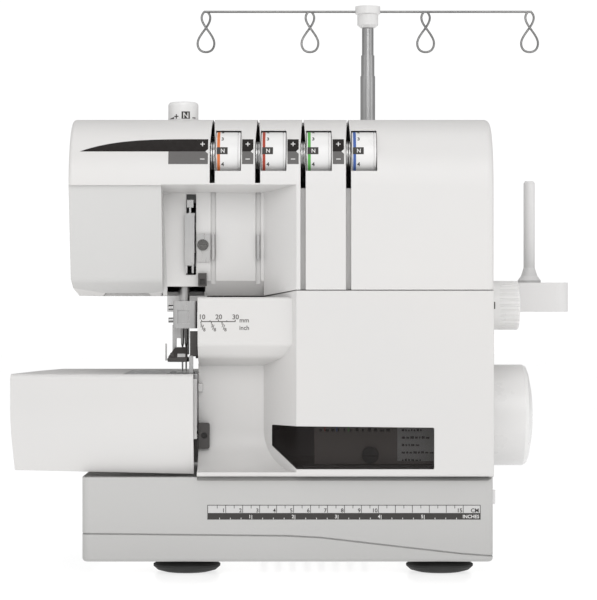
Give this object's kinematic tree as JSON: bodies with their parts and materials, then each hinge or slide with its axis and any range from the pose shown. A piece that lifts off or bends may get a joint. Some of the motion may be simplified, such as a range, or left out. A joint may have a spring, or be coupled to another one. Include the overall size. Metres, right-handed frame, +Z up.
{
  "type": "serger overlock machine",
  "caption": "Household overlock sewing machine with free arm cover, folding looper cover, tension dials, handwheel, spool stand and telescopic thread guide mast.",
  "frame": {"origin": "middle of the bounding box, on the surface the machine stands on", "axes": "+X to the operator's right towards the handwheel, +Y away from the operator, +Z up"},
  "size_m": [0.351, 0.28, 0.3623],
  "materials": {
    "white_shell": "satin moulded plastic",
    "white_dial": "satin moulded plastic",
    "clear_lens": "frosted clear plastic",
    "smoky_pane": "smoky clear plastic",
    "steel": "ground steel",
    "chrome_wire": "bright plated",
    "mast_metal": "satin anodised",
    "dark_part": "black oxide",
    "cast_frame": "grey cast alloy",
    "motor_case": "grey enamel",
    "rubber": "matt rubber",
    "black_plastic": "fine texture",
    "board_green": "solder mask",
    "bronze": "sintered bronze",
    "chart_panel": "printed panel"
  },
  "bodies": {
    "machine": {"base_tray": "white_shell", "lower_housing": "white_shell", "upper_housing": "white_shell", "rear_housing": "white_shell", "free_arm_housing": "white_shell", "needle_plate": "steel", "plate_screws": "steel", "rubber_feet": "rubber", "housing_screws": "steel", "tension_discs": "steel", "needle_thread_guides": "steel", "inner_panel": "chart_panel", "chassis_frame": "cast_frame", "shaft_bearings": "bronze", "drive_motor": "motor_case", "drive_belt": "rubber", "switch_bezel": "black_plastic", "power_inlet": "black_plastic", "lamp_lens": "clear_lens", "control_board": "board_green", "spool_stand": "white_shell", "stand_brackets": "white_shell", "spool_pins": "white_shell", "mast_lower_tube": "mast_metal"},
    "cover_carriage": {"front_cover_carriage": "dark_part"},
    "front_cover": {"front_cover": "white_shell", "front_cover_window": "smoky_pane", "cover_latch": "dark_part"},
    "free_arm_cover": {"free_arm_cover": "white_shell"},
    "main_shaft": {"main_shaft": "steel", "handwheel": "white_dial", "shaft_pulley": "black_plastic"},
    "motor_pulley": {"motor_pulley": "steel"},
    "needle_bar": {"needle_bar": "steel", "needle_clamp": "steel", "needles": "chrome_wire"},
    "take_up_lever": {"take_up_lever": "steel"},
    "presser_lifter": {"presser_lifter": "black_plastic"},
    "presser_bar": {"presser_bar": "steel", "presser_spring": "steel"},
    "presser_foot": {"presser_foot": "steel"},
    "upper_knife": {"upper_knife_arm": "dark_part", "upper_knife_blade": "steel"},
    "lower_knife": {"lower_knife": "steel"},
    "upper_looper": {"upper_looper": "steel"},
    "lower_looper": {"lower_looper": "steel"},
    "main_feed_dog": {"main_feed_dog": "steel"},
    "differential_feed_dog": {"differential_feed_dog": "steel"},
    "pressure_dial": {"pressure_dial": "white_dial"},
    "stitch_length_dial": {"stitch_length_dial": "white_dial"},
    "differential_feed_dial": {"differential_feed_dial": "white_dial"},
    "power_rocker": {"power_rocker": "white_dial"},
    "mast_middle": {"mast_middle_tube": "mast_metal"},
    "mast_upper": {"mast_upper_tube": "mast_metal"},
    "thread_guide": {"thread_guide_head": "white_dial", "thread_guide_bar": "chrome_wire"},
    "tension_dial_1": {"tension_dial_1": "white_dial"},
    "tension_dial_2": {"tension_dial_2": "white_dial"},
    "tension_dial_3": {"tension_dial_3": "white_dial"},
    "tension_dial_4": {"tension_dial_4": "white_dial"}
  },
  "joints": [
    {"name": "front_cover_slide", "type": "slide", "parent": "machine", "child": "cover_carriage", "axis": [1, 0, 0], "range_m": [0, 0.008]},
    {"name": "front_cover_tilt", "type": "hinge", "parent": "cover_carriage", "child": "front_cover", "pos_m": [0, -0.136, 0.0608], "axis": [1, 0, 0], "range_deg": [0, 80]},
    {"name": "free_arm_cover_slide", "type": "slide", "parent": "machine", "child": "free_arm_cover", "axis": [-1, 0, 0], "range_m": [0, 0.12]},
    {"name": "handwheel_turn", "type": "hinge", "parent": "machine", "child": "main_shaft", "pos_m": [0, -0.05, 0.0905], "axis": [1, 0, 0], "continuous": true},
    {"name": "motor_turn", "type": "hinge", "parent": "machine", "child": "motor_pulley", "pos_m": [0, 0.02, 0.042], "axis": [1, 0, 0], "continuous": true},
    {"name": "needle_bar_stroke", "type": "slide", "parent": "machine", "child": "needle_bar", "axis": [0, 0, 1], "range_m": [-0.01, 0.016]},
    {"name": "take_up_stroke", "type": "slide", "parent": "machine", "child": "take_up_lever", "axis": [0, 0, 1], "range_m": [-0.002, 0.0032]},
    {"name": "presser_lifter_turn", "type": "hinge", "parent": "machine", "child": "presser_lifter", "pos_m": [-0.07, 0, 0.194], "axis": [0, -1, 0], "range_deg": [0, 90]},
    {"name": "presser_bar_travel", "type": "slide", "parent": "machine", "child": "presser_bar", "axis": [0, 0, -1], "range_m": [0, 0.0055], "deforming": ["presser_spring"]},
    {"name": "presser_foot_tilt", "type": "hinge", "parent": "presser_bar", "child": "presser_foot", "pos_m": [-0.076, -0.097, 0.1315], "axis": [1, 0, 0], "range_deg": [-2, 2]},
    {"name": "upper_knife_swing", "type": "hinge", "parent": "machine", "child": "upper_knife", "pos_m": [0, -0.064, 0.131], "axis": [-1, 0, 0], "range_deg": [-5, 8]},
    {"name": "lower_knife_release", "type": "slide", "parent": "machine", "child": "lower_knife", "axis": [0, 0, -1], "range_m": [0, 0.0015]},
    {"name": "upper_looper_swing", "type": "hinge", "parent": "machine", "child": "upper_looper", "pos_m": [0, -0.07, 0.088], "axis": [-1, 0, 0], "range_deg": [-5, 8]},
    {"name": "lower_looper_swing", "type": "hinge", "parent": "machine", "child": "lower_looper", "pos_m": [0, -0.074, 0.071], "axis": [1, 0, 0], "range_deg": [-5, 8]},
    {"name": "main_feed_travel", "type": "slide", "parent": "machine", "child": "main_feed_dog", "axis": [0, 1, 0], "range_m": [-0.001, 0.0016]},
    {"name": "differential_feed_travel", "type": "slide", "parent": "machine", "child": "differential_feed_dog", "axis": [0, 1, 0], "range_m": [-0.00125, 0.002]},
    {"name": "pressure_dial_turn", "type": "hinge", "parent": "machine", "child": "pressure_dial", "pos_m": [-0.0759, -0.095, 0.27], "axis": [0, 0, 1], "range_deg": [-150, 150]},
    {"name": "stitch_length_turn", "type": "hinge", "parent": "machine", "child": "stitch_length_dial", "pos_m": [0.11, -0.065, 0.1587], "axis": [1, 0, 0], "range_deg": [-120, 120]},
    {"name": "differential_feed_turn", "type": "hinge", "parent": "machine", "child": "differential_feed_dial", "pos_m": [0.11, -0.024, 0.1587], "axis": [1, 0, 0], "range_deg": [-120, 120]},
    {"name": "power_rocker_tilt", "type": "hinge", "parent": "machine", "child": "power_rocker", "pos_m": [0.1075, -0.105, 0.044], "axis": [0, 0, -1], "range_deg": [0, 16]},
    {"name": "mast_middle_slide", "type": "slide", "parent": "machine", "child": "mast_middle", "axis": [0, 0, 1], "range_m": [-0.012, 0.12]},
    {"name": "mast_upper_slide", "type": "slide", "parent": "mast_middle", "child": "mast_upper", "axis": [0, 0, 1], "range_m": [-0.016, 0.12]},
    {"name": "thread_guide_swivel", "type": "hinge", "parent": "mast_upper", "child": "thread_guide", "pos_m": [0.041, 0.105, 0.35], "axis": [0, 0, 1], "range_deg": [-90, 90]},
    {"name": "tension_dial_1_turn", "type": "hinge", "parent": "machine", "child": "tension_dial_1", "pos_m": [-0.0477, -0.123, 0.2475], "axis": [1, 0, 0], "range_deg": [-135, 135]},
    {"name": "tension_dial_2_turn", "type": "hinge", "parent": "machine", "child": "tension_dial_2", "pos_m": [-0.021, -0.123, 0.2475], "axis": [1, 0, 0], "range_deg": [-135, 135]},
    {"name": "tension_dial_3_turn", "type": "hinge", "parent": "machine", "child": "tension_dial_3", "pos_m": [0.0057, -0.123, 0.2475], "axis": [1, 0, 0], "range_deg": [-135, 135]},
    {"name": "tension_dial_4_turn", "type": "hinge", "parent": "machine", "child": "tension_dial_4", "pos_m": [0.0324, -0.123, 0.2475], "axis": [1, 0, 0], "range_deg": [-135, 135]}
  ],
  "couplings": [
    {"joint": "motor_turn", "follows": "handwheel_turn", "ratio": 4},
    {"joint": "take_up_stroke", "follows": "needle_bar_stroke", "ratio": 0.2},
    {"joint": "upper_knife_swing", "follows": "needle_bar_stroke", "rad_per_m": 8.717},
    {"joint": "upper_looper_swing", "follows": "needle_bar_stroke", "rad_per_m": 8.717},
    {"joint": "lower_looper_swing", "follows": "needle_bar_stroke", "rad_per_m": 8.717},
    {"joint": "main_feed_travel", "follows": "needle_bar_stroke", "ratio": 0.1},
    {"joint": "differential_feed_travel", "follows": "needle_bar_stroke", "ratio": 0.125},
    {"joint": "presser_bar_travel", "follows": "presser_lifter_turn", "m_per_rad": 0.0035011}
  ]
}
